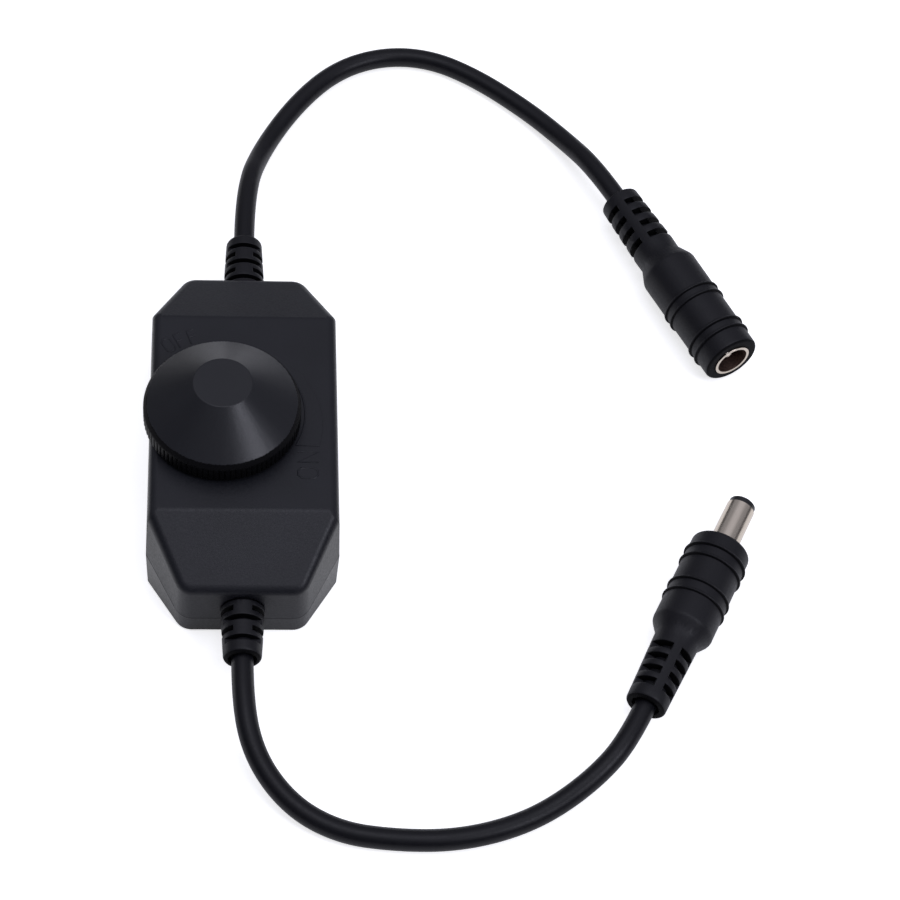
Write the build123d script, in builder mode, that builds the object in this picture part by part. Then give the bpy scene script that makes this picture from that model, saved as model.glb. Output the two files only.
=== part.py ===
from build123d import *
from math import atan, cos, radians, sin, tan
import os

# In-line rotary dimmer for a low voltage LED strip, in millimetres.
# Origin at the centre of the case's flat underside. +X across the case, +Y towards the power input
# end, +Z up. The case stands on z = 0, and so do the two connectors on their cords.

os.makedirs("parts", exist_ok=True)

# Case: two moulded shells
case_length = 71.4
case_width = 35.4
case_height = 19.5
end_width = 22.4
end_height = 13.4  # of the end wall, where the sloped roof comes down to it
slope_length = 14.1  # the roof slopes down over this much at each end
taper_length = 10.5  # the long sides turn in over this much at each end
end_corner_radius = 3.7
side_corner_radius = 0.6
roof_edge_radius = 1.8
floor_edge_radius = 0.6
wall = 2.0
roof_thickness = 2.0
floor_thickness = 2.0
upper_draft = 2.0  # degrees
lower_draft = 1.4
parting_side_z = 9.8  # height of the parting line along the sides
parting_end_z = 5.0  # and where it meets the end walls
shell_step = 0.15  # the upper shell stands this far proud of the lower one
lip_height = 1.2
lip_clearance = 0.08

# Screws that close the case from below
screw_side_inset = 5.4
screw_end_inset = 13.0
screw_radius = 1.1
screw_head_radius = 2.2
screw_head_height = 1.6
screw_slot_width = 0.6
screw_slot_length = 3.1
screw_slot_depth = 1.0
screw_recess = 2.4
screw_tip_gap = 1.1  # left between the screw's tip and the ceiling
screw_boss_radius = 2.8
screw_clearance = 0.25
head_clearance = 0.2
thread_clearance = 0.03

# Circuit board
board_thickness = 1.6
board_side_gap = 1.2
board_end_gap = 7.4
board_boss_gap = 0.5
board_hole_radius = 0.65
standoff_radius = 1.8
standoff_height = 2.0
standoff_side_inset = 3.3
standoff_end_inset = 9.9

# Potentiometer, with its axis off the case's centre line
pot_x = -4.0
pot_y = -1.55
can_radius = 8.2
can_height = 7.0
can_wall = 0.5
wafer_thickness = 1.2
wafer_tail_width = 14.6
wafer_tail_length = 1.8
bushing_radius = 3.5
bushing_height = 4.9  # above the ceiling
bushing_flange_radius = 5.0
bushing_flange = 0.6
bushing_clearance = 0.1
shaft_radius = 3.0
shaft_reach = 9.4  # above the roof
shaft_flat = 1.5  # from the axis to the flat
shaft_clearance = 0.05
collar_radius = 4.4
collar_height = 1.7
spigot_radius = 2.0
spigot_height = 1.6
rotor_radius = 6.9
rotor_thickness = 1.4
wiper_thickness = 0.3
wiper_outer_radius = 6.1
wiper_inner_radius = 4.3
wiper_contact_radius = 0.7
washer_radius = 5.6
washer_thickness = 0.5
nut_across_flats = 10.0
nut_height = 2.0
nut_bevel = 20.0  # degrees
switch_cut = 6.0  # flat side of the switch block, from the axis
pin_width = 1.0
pin_thickness = 0.5
pin_pitch = 2.5
pin_count = 5
pin_inset = 1.1
pin_reach = 0.7  # below the board

# Knob
knob_radius = 14.4
knob_rim_inset = 0.6
knob_crown_radius = 5.35
knob_height = 10.2
knob_rim_height = 4.0
knob_gap = 0.9  # between the skirt and the roof
knob_wall = 1.5
knob_rim_fillet = 0.9
knob_hub_radius = 4.7
knob_rib_count = 6
knob_rib_thickness = 1.1
knurl_count = 90
knurl_depth = 0.22
knurl_height = 2.9
hub_gap = 0.5  # between the bushing's top and the hub
bore_clearance = 0.04
bore_end_gap = 0.3

# Cords
cord_radius = 2.0
cord_lift = 0.05  # a cord that lies on the table is this far above it
lead_radius = 0.65
lead_offset = 1.0

# Strain reliefs in the end walls
grommet_z = 8.0
grommet_radius = 4.05
grommet_tip_radius = 3.45
grommet_neck_radius = 3.2
grommet_reach_in = 12.5  # the input one stands further out of its wall than the output one
grommet_reach_out = 10.4
grommet_flange_width = 9.4
grommet_flange_height = 7.2
grommet_flange_thickness = 2.4
grommet_flange_corner = 1.5
grommet_tip_fillet = 0.9
grommet_slot_pitch = 2.0
grommet_slot_count = 5
grommet_first_slot = 2.9
grommet_slot_width = 0.95
grommet_bridge_width = 3.4  # left beside each slot
grommet_slot_skin = 0.35  # between a slot's floor and the cord
slot_wall_gap = 0.95  # a slot stays this far out of the wall
saddle_gap = 0.3  # between the lower shell's saddle and the strain relief's axis
saddle_drop = 1.5
saddle_step = 0.55
saddle_clearance = 0.1
seat_gap = 0.05

# Connectors: a coaxial pair with a 5.5 mm barrel, both lying level
connector_z = 6.25
jack_x = 75.9
jack_y = 62.4
jack_heading = -64.0
jack_roll = 28.0  # degrees about its own axis, as it lies
jack_length = 44.0
jack_neck = 16.8
jack_shoulder = 20.0
jack_tail_radius = 3.7
jack_rings = (28.6, 30.6, 37.8, 39.9)
jack_slots = (3.4, 6.5, 9.6, 12.7)
jack_sleeve_radius = 3.75
jack_sleeve_wall = 0.6
jack_sleeve_length = 11.0
jack_sleeve_proud = 0.25
jack_slit = 0.5
jack_slit_length = 6.0
jack_pin_radius = 1.0
jack_pin_recess = 1.2
jack_pin_round = 0.8
insulator_thickness = 2.5
plug_x = 71.9
plug_y = -54.3
plug_heading = 63.1
plug_roll = 14.0
plug_length = 37.5
plug_neck = 15.3
plug_shoulder = 17.8
plug_tail_radius = 3.8
plug_rings = (23.3, 25.8, 31.6, 34.1)
plug_slots = (3.4, 6.1, 8.8, 11.5)
barrel_radius = 2.75
barrel_length = 10.0
barrel_wall = 0.35
barrel_root_radius = 3.2  # where the moulding grips it, flush with its face
barrel_root_depth = 6.0
tip_length = 1.3
tip_step = 0.2
tip_chamfer = 0.2
contact_radius = 1.35
contact_bore_radius = 1.05
contact_depth = 9.0
body_radius = 5.8
body_taper = 0.12
neck_radius = 4.2
tail_chamfer = 0.4
rim_fillet = 0.7
shoulder_fillet = 1.6
ring_proud = 0.32
ring_base = 0.85
ring_crest = 0.35
tail_slot_width = 1.4
jack_slot_width = 0.6  # thin cuts that end in a wider window at the spine
jack_window_width = 1.4
tail_slot_skin = 0.5
tail_spine = 1.7
tail_side_web = 1.4
cord_recess = 1.2  # the cord enters a shallow hole in each moulding
cord_side_gap = 0.6

# Parts on the board, as sizes along X, Y and Z
transistor_case = (6.6, 6.1, 2.3)
transistor_tab = (5.4, 6.6, 0.5)
transistor_tab_shift = 1.8
transistor_lead = (0.8, 2.6, 0.5)
transistor_lead_x = 2.28
transistor_lead_y = -4.0
transistor_place = (7.6, -13.2)
chip_size = (3.9, 4.9, 1.5)
chip_lead = (1.0, 0.4, 0.7)
chip_lead_pitch = 1.27
chip_place = (9.3, 1.6)
diode_size = (2.6, 4.3, 2.1)
diode_lead = (1.5, 1.3, 1.0)
diode_place = (-7.6, 13.2)
part_lift = 0.2  # moulded cases stand on their leads, this far off the board
capacitor_radius = 4.0
capacitor_top_gap = 1.4
capacitor_fillet = 0.5
capacitor_place = (8.3, 11.6)
small_chip = (1.3, 2.0, 0.55)
resistor_places = ((6.4, 5.9), (12.4, 5.9), (-1.5, 12.6), (1.6, -13.4), (12.6, -7.6))
small_capacitor_places = ((6.4, -4.4), (9.4, -4.4), (1.2, 12.6))

# Case values that follow from the ones above
ends = (-1, 1)
half_length = case_length / 2
half_width = case_width / 2
crease_y = half_length - slope_length
side_corner_y = half_length - taper_length
roof_fall = (case_height - end_height) / slope_length
slope = atan(roof_fall)
parting_fall = (parting_side_z - parting_end_z) / taper_length
ceiling_z = case_height - roof_thickness
wall_face = half_length - wall
overhang = 6.0  # cutting profiles run this far past the end walls
far_side = half_length + overhang
screw_x = half_width - screw_side_inset
screw_y = half_length - screw_end_inset
screw_places = [(x * screw_x, y * screw_y) for x in ends for y in ends]
head_top_z = screw_recess + screw_head_height
screw_tip_z = ceiling_z - screw_tip_gap

# Board and potentiometer
board_z = floor_thickness + standoff_height
board_top = board_z + board_thickness
board_width = case_width - 2 * (wall + board_side_gap)
board_length = case_length - 2 * (wall + board_end_gap)
standoff_x = board_width / 2 - standoff_side_inset
standoff_y = board_length / 2 - standoff_end_inset
can_low_z = ceiling_z - can_height
wafer_top_z = can_low_z + wafer_thickness
bushing_low_z = ceiling_z - can_wall - bushing_flange
bushing_top_z = ceiling_z + bushing_height
collar_top_z = bushing_low_z - seat_gap
collar_low_z = collar_top_z - collar_height
spigot_low_z = collar_low_z - spigot_height
rotor_low_z = collar_low_z - rotor_thickness
wiper_low_z = rotor_low_z - wiper_thickness
shaft_top_z = case_height + shaft_reach
pin_y = pot_y - can_radius + pin_inset
pin_places = [(pot_x + pin_pitch * (i - (pin_count - 1) / 2), pin_y) for i in range(pin_count)]
pot_base = Plane(origin=(pot_x, pot_y, 0))
pot_section = Plane(origin=(pot_x, pot_y, 0), x_dir=(1, 0, 0), z_dir=(0, -1, 0))
knob_axis = Axis((pot_x, pot_y, 0), (0, 0, 1))

# Knob
skirt_z = case_height + knob_gap
knob_top_z = skirt_z + knob_height
knob_rim_z = skirt_z + knob_rim_height
hub_low_z = bushing_top_z + hub_gap
flat_low_z = hub_low_z - hub_gap / 2
knob_inner_radius = knob_radius - knob_wall
knob_inner_rim = knob_inner_radius - knob_rim_inset
rib_middle = (knob_inner_radius + knob_hub_radius) / 2
rib_length = knob_inner_radius - knob_hub_radius + knob_wall / 2
knurl_side = knurl_depth * 2 ** 0.5

# Strain reliefs and connectors
cord_z = cord_radius + cord_lift
recess_radius = cord_radius + cord_side_gap
grommet_core_radius = cord_radius + grommet_slot_skin
tail_core_radius = cord_radius + tail_slot_skin
flange_top_z = grommet_z + grommet_flange_height / 2
flange_set_back = (flange_top_z - parting_end_z + 1) * tan(radians(upper_draft)) + seat_gap
flange_face = wall_face - flange_set_back
flange_back = flange_face - grommet_flange_thickness
saddle_half_width = grommet_radius - 2 * saddle_clearance
saddle_low_z = parting_end_z - saddle_drop
saddle_top_z = grommet_z - saddle_gap
jack_floor = jack_length - jack_sleeve_length
jack_bore_radius = jack_sleeve_radius - jack_sleeve_wall
barrel_start = plug_length - barrel_root_depth
barrel_end = plug_length + barrel_length
barrel_bore_radius = barrel_radius - barrel_wall
plug_tip = barrel_end + tip_length


def plan_face(inset):
    """Outline of the case seen from above, drawn in by inset."""
    with BuildSketch() as plan:
        with BuildLine():
            Polyline(
                (end_width / 2, -half_length),
                (half_width, -side_corner_y),
                (half_width, side_corner_y),
                (end_width / 2, half_length),
                (-end_width / 2, half_length),
                (-half_width, side_corner_y),
                (-half_width, -side_corner_y),
                (-end_width / 2, -half_length),
                close=True,
            )
        make_face()
        rows = plan.vertices().group_by(Axis.Y)
        fillet(rows[0] + rows[-1], end_corner_radius)
        if inset:
            offset(amount=-inset)
    return plan.sketch


def parting_points(rise):
    """Parting line seen from the side, from -Y to +Y, raised by rise."""
    far_z = parting_end_z - overhang * parting_fall
    return [
        (-far_side, far_z + rise),
        (-side_corner_y, parting_side_z + rise),
        (side_corner_y, parting_side_z + rise),
        (far_side, far_z + rise),
    ]


def roof_points(drop):
    """Roof line seen from the side, from +Y to -Y, lowered by drop."""
    far_z = end_height - overhang * roof_fall - drop / cos(slope)
    kink_y = crease_y - drop * tan(slope / 2)
    return [
        (far_side, far_z),
        (kink_y, case_height - drop),
        (-kink_y, case_height - drop),
        (-far_side, far_z),
    ]


def side_band(points):
    """Slab across the whole width whose section is the closed outline of points."""
    with BuildPart() as band:
        with BuildSketch(Plane.YZ):
            with BuildLine():
                Polyline(*points, close=True)
            make_face()
        extrude(amount=case_width, both=True)
    return band.part


def plan_prism(inset, low, high, taper=0.0):
    """Case outline drawn in by inset, extruded from height low to height high."""
    with BuildPart() as prism:
        with BuildSketch(Plane.XY.offset(low)):
            add(plan_face(inset))
        extrude(amount=high - low, taper=taper)
    return prism.part


def tube(plane, outer, inner, low, high):
    """Round tube or rod about a plane's local Z, from distance low to distance high."""
    with BuildPart() as body:
        with BuildSketch(plane.offset(low)):
            Circle(outer)
            if inner:
                Circle(inner, mode=Mode.SUBTRACT)
        extrude(amount=high - low)
    return body.part


def posts(places, outer, inner, low, high):
    """A round post at each place, with a hole through it, from height low to height high."""
    with BuildPart() as body:
        with BuildSketch(Plane.XY.offset(low)):
            with Locations(*places):
                Circle(outer)
                if inner:
                    Circle(inner, mode=Mode.SUBTRACT)
        extrude(amount=high - low)
    return body.part


def is_roof_border(edge):
    """True for the edges where the roof meets the walls, and not for its two creases."""
    on_crease_line = abs(abs(edge.center().Y) - crease_y) < 0.3
    return not (on_crease_line and edge.length > end_width - 1)


def is_side_corner(edge):
    """True for the four upright edges where the long sides turn in."""
    centre = edge.center()
    near_side = abs(abs(centre.X) - half_width) < 0.8 and abs(abs(centre.Y) - side_corner_y) < 0.5
    return near_side and edge.length > 3


def end_plane(end, distance):
    """Section plane of a strain relief, distance from the case's centre, facing outwards."""
    return Plane(origin=(0, end * distance, grommet_z), x_dir=(-end, 0, 0), z_dir=(0, end, 0))


def connector_plane(x, y, heading, roll):
    """Section plane of a connector: local Z runs from its cord end, local Y is up before its roll."""
    turn, lean = radians(heading), radians(roll)
    return Plane(
        origin=(x, y, connector_z),
        x_dir=(-sin(turn) * cos(lean), cos(turn) * cos(lean), sin(lean)),
        z_dir=(cos(turn), sin(turn), 0),
    )


def half_section(plane):
    """Plane along a connector's axis: local X is the radius, local Y runs from the cord end."""
    return Plane(origin=plane.origin, x_dir=plane.y_dir, z_dir=plane.x_dir)


def along(plane, distance):
    """Point on a connector's axis, distance from its cord end."""
    return tuple(plane.origin + plane.z_dir * distance)


def moulded_body(plane, axis, tail, neck_at, shoulder_at, length, rings):
    """Connector body turned from its half section: tail cone, neck, shoulder, barrel and rings."""
    ring_radius = body_radius + ring_proud
    with BuildPart() as body:
        with BuildSketch(half_section(plane)):
            with BuildLine():
                Polyline(
                    (0, 0),
                    (tail, 0),
                    (neck_radius, neck_at),
                    (body_radius, shoulder_at),
                    (body_radius - body_taper, length),
                    (0, length),
                    close=True,
                )
            make_face()
        revolve(axis=axis)
        circles = body.edges().filter_by(GeomType.CIRCLE).sort_by(axis)
        chamfer(circles[0], tail_chamfer)
        circles = body.edges().filter_by(GeomType.CIRCLE).sort_by(axis)
        fillet(circles[3], shoulder_fillet)
        circles = body.edges().filter_by(GeomType.CIRCLE).sort_by(axis)
        fillet(circles[-1], rim_fillet)
        for place in rings:
            with BuildSketch(half_section(plane)):
                with BuildLine():
                    Polyline(
                        (neck_radius, place - ring_base / 2),
                        (body_radius - body_taper, place - ring_base / 2),
                        (ring_radius, place - ring_crest / 2),
                        (ring_radius, place + ring_crest / 2),
                        (body_radius - body_taper, place + ring_base / 2),
                        (neck_radius, place + ring_base / 2),
                        close=True,
                    )
                make_face()
            revolve(axis=axis)
        add(tube(plane, recess_radius, 0, -1, cord_recess), mode=Mode.SUBTRACT)
    return body.part


def tail_slots(plane, places, width, reach, side_web=0.0):
    """The cuts that let a connector's tail bend, reaching out from the spine left on each side."""
    with BuildPart() as cuts:
        for place in places:
            with BuildSketch(plane.offset(place - width / 2)):
                Rectangle(tail_spine + 2 * reach, 3 * body_radius)
                Circle(tail_core_radius, mode=Mode.SUBTRACT)
                Rectangle(tail_spine, 3 * body_radius, mode=Mode.SUBTRACT)
                if side_web:
                    Rectangle(3 * body_radius, side_web, mode=Mode.SUBTRACT)
            extrude(amount=width)
    return cuts.part


def corner_radii(points):
    """The radius of each corner of a route: 0.45 of the shorter run over the tangent of half the turn."""
    runs = [Vector(b) - Vector(a) for a, b in zip(points, points[1:])]
    return [
        0.45 * min(a.length, b.length) / tan(radians(a.get_angle(b)) / 2)
        for a, b in zip(runs, runs[1:])
    ]


def soft_tube(points, radius):
    """Round cord or wire along straight runs joined by tangent arcs."""
    start = Vector(points[0])
    with BuildPart() as cord:
        with BuildLine():
            FilletPolyline(*points, radius=corner_radii(points))
        with BuildSketch(Plane(origin=start, z_dir=Vector(points[1]) - start)):
            Circle(radius)
        sweep()
    return cord.part


def board_block(size, place, low=0.0):
    """A block on the board at a place, or standing low above it."""
    with BuildPart() as block:
        with BuildSketch(Plane.XY.offset(board_top + low)):
            with Locations(place):
                Rectangle(size[0], size[1])
        extrude(amount=size[2])
    return block.part


def keep(piece, name):
    """Label a finished piece and write it."""
    piece.label = name
    export_step(piece, f"parts/{name}.step")


# Bands and prisms that the two shells share
skirting = [(far_side, -1.0), (-far_side, -1.0)]
below_line = list(reversed(parting_points(-1)))
upper_band = side_band(parting_points(0) + roof_points(0))
lower_band = side_band(parting_points(0) + skirting)
space_band = side_band(list(reversed(skirting)) + roof_points(roof_thickness))
boss_band = side_band(list(reversed(skirting)) + roof_points(roof_thickness / 2))
tongue_band = side_band(parting_points(lip_height) + below_line)
groove_band = side_band(parting_points(lip_height + lip_clearance) + below_line)
upper_space = plan_prism(wall, parting_end_z - 1, case_height, upper_draft) & space_band
tongue = plan_prism(wall / 2, 0, case_height) & tongue_band
groove = plan_prism(wall / 2 - lip_clearance, 0, case_height) & groove_band
upper_bosses = posts(screw_places, screw_boss_radius, 0, parting_side_z, case_height) & boss_band

# Upper shell: drafted walls, flat roof with a slope at each end, screw bosses and a U for each cord
with BuildPart() as upper_shell:
    with BuildSketch(Plane.XY.offset(parting_end_z)):
        add(plan_face(0))
    extrude(amount=case_height - parting_end_z + 1, taper=upper_draft)
    add(upper_band, mode=Mode.INTERSECT)
    roof_faces = upper_shell.faces().filter_by(lambda face: face.normal_at().Z > 0.5)
    border = [edge for face in roof_faces for edge in face.edges() if is_roof_border(edge)]
    fillet(ShapeList(border), roof_edge_radius)
    fillet(upper_shell.edges().filter_by(is_side_corner), side_corner_radius)
    add(upper_space, mode=Mode.SUBTRACT)
    add(groove, mode=Mode.SUBTRACT)
    add(upper_bosses)
    with BuildSketch(Plane.XY.offset(parting_side_z)):
        with Locations(*screw_places):
            Circle(screw_radius + thread_clearance)
    extrude(amount=screw_tip_z + screw_tip_gap / 2 - parting_side_z, mode=Mode.SUBTRACT)
    with BuildSketch(pot_base.offset(ceiling_z - 1)):
        Circle(bushing_radius + bushing_clearance)
    extrude(amount=roof_thickness + 2, mode=Mode.SUBTRACT)
    for end in ends:
        with BuildSketch(end_plane(end, wall_face - 1)):
            Circle(grommet_radius - saddle_clearance)
            with Locations((0, -grommet_z / 2)):
                Rectangle(2 * (grommet_radius - saddle_clearance), grommet_z)
        extrude(amount=wall + 2, mode=Mode.SUBTRACT)
keep(upper_shell.part, "upper_shell")

# Lower shell: tray with the tongue of the joint, screw posts, stand-offs and a saddle for each cord
with BuildPart() as lower_shell:
    with BuildSketch(Plane.XY.offset(parting_side_z)):
        add(plan_face(shell_step))
    extrude(amount=-parting_side_z, taper=lower_draft)
    add(lower_band, mode=Mode.INTERSECT)
    fillet(lower_shell.faces().sort_by(Axis.Z)[0].edges(), floor_edge_radius)
    add(tongue)
    with BuildSketch(Plane.XY.offset(floor_thickness)):
        add(plan_face(wall))
    extrude(amount=case_height, mode=Mode.SUBTRACT)
    with BuildSketch(Plane.XY.offset(floor_thickness - 0.5)):
        with Locations(*screw_places):
            Circle(screw_boss_radius)
    extrude(amount=parting_side_z - floor_thickness + 0.5)
    with BuildSketch():
        with Locations(*screw_places):
            Circle(screw_radius + screw_clearance)
    extrude(amount=parting_side_z, mode=Mode.SUBTRACT)
    with BuildSketch():
        with Locations(*screw_places):
            Circle(screw_head_radius + head_clearance)
    extrude(amount=head_top_z, mode=Mode.SUBTRACT)
    with BuildSketch(Plane.XY.offset(floor_thickness)):
        with GridLocations(2 * standoff_x, 2 * standoff_y, 2, 2):
            Circle(standoff_radius)
    extrude(amount=standoff_height)
    for end in ends:
        with BuildSketch(end_plane(end, wall_face)):
            with Locations((0, (saddle_low_z + saddle_top_z) / 2 - grommet_z)):
                Rectangle(2 * saddle_half_width, saddle_top_z - saddle_low_z)
        extrude(amount=wall - saddle_step)
        with BuildSketch(end_plane(end, wall_face - 1)):
            Circle(grommet_neck_radius + seat_gap)
        extrude(amount=wall + 2, mode=Mode.SUBTRACT)
keep(lower_shell.part, "lower_shell")

# Screws: pan head in a recess, crossed slots, plain shank
with BuildPart() as housing_screws:
    with BuildSketch(Plane.XY.offset(screw_recess)):
        with Locations(*screw_places):
            Circle(screw_head_radius)
    extrude(amount=screw_head_height)
    with BuildSketch(Plane.XY.offset(head_top_z)):
        with Locations(*screw_places):
            Circle(screw_radius)
    extrude(amount=screw_tip_z - head_top_z)
    with BuildSketch(Plane.XY.offset(screw_recess)):
        with Locations(*screw_places):
            Rectangle(screw_slot_length, screw_slot_width)
            Rectangle(screw_slot_width, screw_slot_length)
    extrude(amount=screw_slot_depth, mode=Mode.SUBTRACT)
keep(housing_screws.part, "housing_screws")

# Circuit board on its stand-offs, with a round notch for each screw post and the corner outside it
notch = screw_boss_radius + board_boss_gap
with BuildPart() as circuit_board:
    with BuildSketch(Plane.XY.offset(board_z)):
        Rectangle(board_width, board_length)
        with Locations(*screw_places):
            Circle(notch, mode=Mode.SUBTRACT)
        corner = (board_width / 2 - screw_x + notch, board_length / 2 - screw_y + notch)
        with GridLocations(board_width, board_length, 2, 2):
            Rectangle(2 * (board_width / 2 - screw_x), 2 * corner[1], mode=Mode.SUBTRACT)
            Rectangle(2 * corner[0], 2 * (board_length / 2 - screw_y), mode=Mode.SUBTRACT)
        with Locations(*pin_places):
            Circle(board_hole_radius, mode=Mode.SUBTRACT)
    extrude(amount=board_thickness)
keep(circuit_board.part, "circuit_board")

# Potentiometer's fixed pieces: can, threaded bushing, washer and nut, which clamp the roof
with BuildPart() as pot_can:
    with BuildSketch(pot_base.offset(can_low_z)):
        Circle(can_radius)
    extrude(amount=can_height)
    chamfer(pot_can.faces().sort_by(Axis.Z)[-1].edges(), can_wall)
    with BuildSketch(pot_base.offset(can_low_z)):
        Circle(can_radius - can_wall)
    extrude(amount=can_height - can_wall, mode=Mode.SUBTRACT)
    with BuildSketch(pot_base.offset(can_low_z)):
        Circle(bushing_radius + seat_gap)
    extrude(amount=can_height, mode=Mode.SUBTRACT)
    with BuildSketch(pot_base.offset(can_low_z)):
        with Locations((0, -can_radius)):
            Rectangle(wafer_tail_width + 2 * seat_gap, 2 * (wafer_tail_length + seat_gap))
    extrude(amount=wafer_thickness + seat_gap, mode=Mode.SUBTRACT)
keep(pot_can.part, "pot_can")

with BuildPart() as pot_bushing:
    with BuildSketch(pot_base.offset(bushing_low_z)):
        Circle(bushing_flange_radius)
    extrude(amount=bushing_flange)
    with BuildSketch(pot_base.offset(bushing_low_z)):
        Circle(bushing_radius)
    extrude(amount=bushing_top_z - bushing_low_z)
    chamfer(pot_bushing.faces().sort_by(Axis.Z)[-1].edges(), (bushing_radius - shaft_radius) / 2)
    with BuildSketch(pot_base.offset(bushing_low_z)):
        Circle(shaft_radius + shaft_clearance)
    extrude(amount=bushing_top_z, mode=Mode.SUBTRACT)
keep(pot_bushing.part, "pot_bushing")

with BuildPart() as pot_washer:
    with BuildSketch(pot_base.offset(case_height)):
        Circle(washer_radius)
        Circle(bushing_radius + bushing_clearance, mode=Mode.SUBTRACT)
    extrude(amount=washer_thickness)
keep(pot_washer.part, "pot_washer")

with BuildPart() as pot_nut:
    with BuildSketch(pot_base.offset(case_height + washer_thickness)):
        RegularPolygon(nut_across_flats / 2, 6, major_radius=False)
        Circle(bushing_radius + thread_clearance, mode=Mode.SUBTRACT)
    extrude(amount=nut_height)
    with BuildSketch(pot_base.offset(case_height + washer_thickness + nut_height)):
        Circle(nut_across_flats / 2)
    extrude(amount=-nut_height, taper=-nut_bevel, mode=Mode.INTERSECT)
keep(pot_nut.part, "pot_nut")

# Potentiometer's turning pieces: shaft with a flat, rotor and wiper, which turn with the knob
with BuildPart() as pot_shaft:
    with BuildSketch(pot_base.offset(spigot_low_z)):
        Circle(spigot_radius)
    extrude(amount=spigot_height)
    with BuildSketch(pot_base.offset(collar_low_z)):
        Circle(collar_radius)
    extrude(amount=collar_height)
    with BuildSketch(pot_base.offset(collar_low_z)):
        Circle(shaft_radius)
    extrude(amount=shaft_top_z - collar_low_z)
    chamfer(pot_shaft.faces().sort_by(Axis.Z)[-1].edges(), can_wall)
    with BuildSketch(pot_base.offset(flat_low_z)):
        with Locations((0, shaft_flat + shaft_radius)):
            Rectangle(3 * shaft_radius, 2 * shaft_radius)
    extrude(amount=shaft_top_z, mode=Mode.SUBTRACT)
keep(pot_shaft.part, "pot_shaft")

with BuildPart() as pot_rotor:
    with BuildSketch(pot_base.offset(rotor_low_z)):
        Circle(rotor_radius)
        Circle(spigot_radius + thread_clearance, mode=Mode.SUBTRACT)
    extrude(amount=rotor_thickness)
keep(pot_rotor.part, "pot_rotor")

with BuildPart() as pot_wiper:
    with BuildSketch(pot_base.offset(wiper_low_z)):
        Circle(wiper_outer_radius)
        Circle(wiper_inner_radius, mode=Mode.SUBTRACT)
        with Locations((0, -wiper_outer_radius)):
            Rectangle(2 * wiper_outer_radius, wiper_outer_radius, mode=Mode.SUBTRACT)
    extrude(amount=wiper_thickness)
    with BuildSketch(pot_base.offset(wiper_low_z)):
        with Locations((0, (wiper_outer_radius + wiper_inner_radius) / 2)):
            Circle(wiper_contact_radius)
    extrude(amount=wafer_top_z + seat_gap - wiper_low_z)
keep(pot_wiper.part, "pot_wiper")

# Potentiometer's electrical pieces: resistance track, switch block and the pins down to the board
with BuildPart() as pot_track_wafer:
    with BuildSketch(pot_base.offset(can_low_z)):
        Circle(can_radius - can_wall - seat_gap)
        with Locations((0, wafer_tail_length / 2 - can_radius)):
            Rectangle(wafer_tail_width, wafer_tail_length)
    extrude(amount=wafer_thickness)
keep(pot_track_wafer.part, "pot_track_wafer")

with BuildPart() as pot_switch:
    with BuildSketch(pot_base.offset(board_top)):
        Circle(can_radius - can_wall)
        with Locations((0, -switch_cut - can_radius)):
            Rectangle(3 * can_radius, 2 * can_radius, mode=Mode.SUBTRACT)
    extrude(amount=can_low_z - board_top)
keep(pot_switch.part, "pot_switch")

with BuildPart() as pot_terminals:
    with BuildSketch(Plane.XY.offset(board_z - pin_reach)):
        with Locations(*pin_places):
            Rectangle(pin_width, pin_thickness)
    extrude(amount=can_low_z - board_z + pin_reach)
keep(pot_terminals.part, "pot_terminals")

# Knob: hollow cone with a knurled skirt, a ribbed hub and a bore with a flat for the shaft
with BuildPart() as knob:
    with BuildSketch(pot_section):
        with BuildLine():
            Polyline(
                (0, knob_top_z),
                (knob_crown_radius, knob_top_z),
                (knob_radius - knob_rim_inset, knob_rim_z),
                (knob_radius, knob_rim_z - knob_rim_fillet),
                (knob_radius, skirt_z),
                (0, skirt_z),
                close=True,
            )
        make_face()
    revolve(axis=knob_axis)
    rim = knob.edges().filter_by(GeomType.CIRCLE).sort_by(Axis.Z)[1:3]
    fillet(rim, knob_rim_fillet)
    with BuildSketch(pot_section):
        with BuildLine():
            Polyline(
                (0, knob_top_z - knob_wall),
                (knob_crown_radius, knob_top_z - knob_wall),
                (knob_inner_rim, knob_rim_z - knob_wall),
                (knob_inner_radius, skirt_z),
                (0, skirt_z),
                close=True,
            )
        make_face()
    revolve(axis=knob_axis, mode=Mode.SUBTRACT)
    with BuildSketch(pot_base.offset(hub_low_z)):
        Circle(knob_hub_radius)
    extrude(amount=knob_top_z - knob_wall / 2 - hub_low_z)
    with BuildSketch(pot_base.offset(hub_low_z)):
        with PolarLocations(rib_middle, knob_rib_count):
            Rectangle(rib_length, knob_rib_thickness)
    extrude(amount=knob_rim_z - hub_low_z)
    with BuildSketch(pot_base.offset(hub_low_z)):
        Circle(shaft_radius + bore_clearance)
        with Locations((0, shaft_flat + bore_clearance + shaft_radius)):
            Rectangle(3 * shaft_radius, 2 * shaft_radius, mode=Mode.SUBTRACT)
    extrude(amount=shaft_top_z + bore_end_gap - hub_low_z, mode=Mode.SUBTRACT)
    with BuildSketch(pot_base.offset(skirt_z)):
        with PolarLocations(knob_radius, knurl_count):
            Rectangle(knurl_side, knurl_side, rotation=45)
    extrude(amount=knurl_height, mode=Mode.SUBTRACT)
keep(knob.part, "knob")

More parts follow.
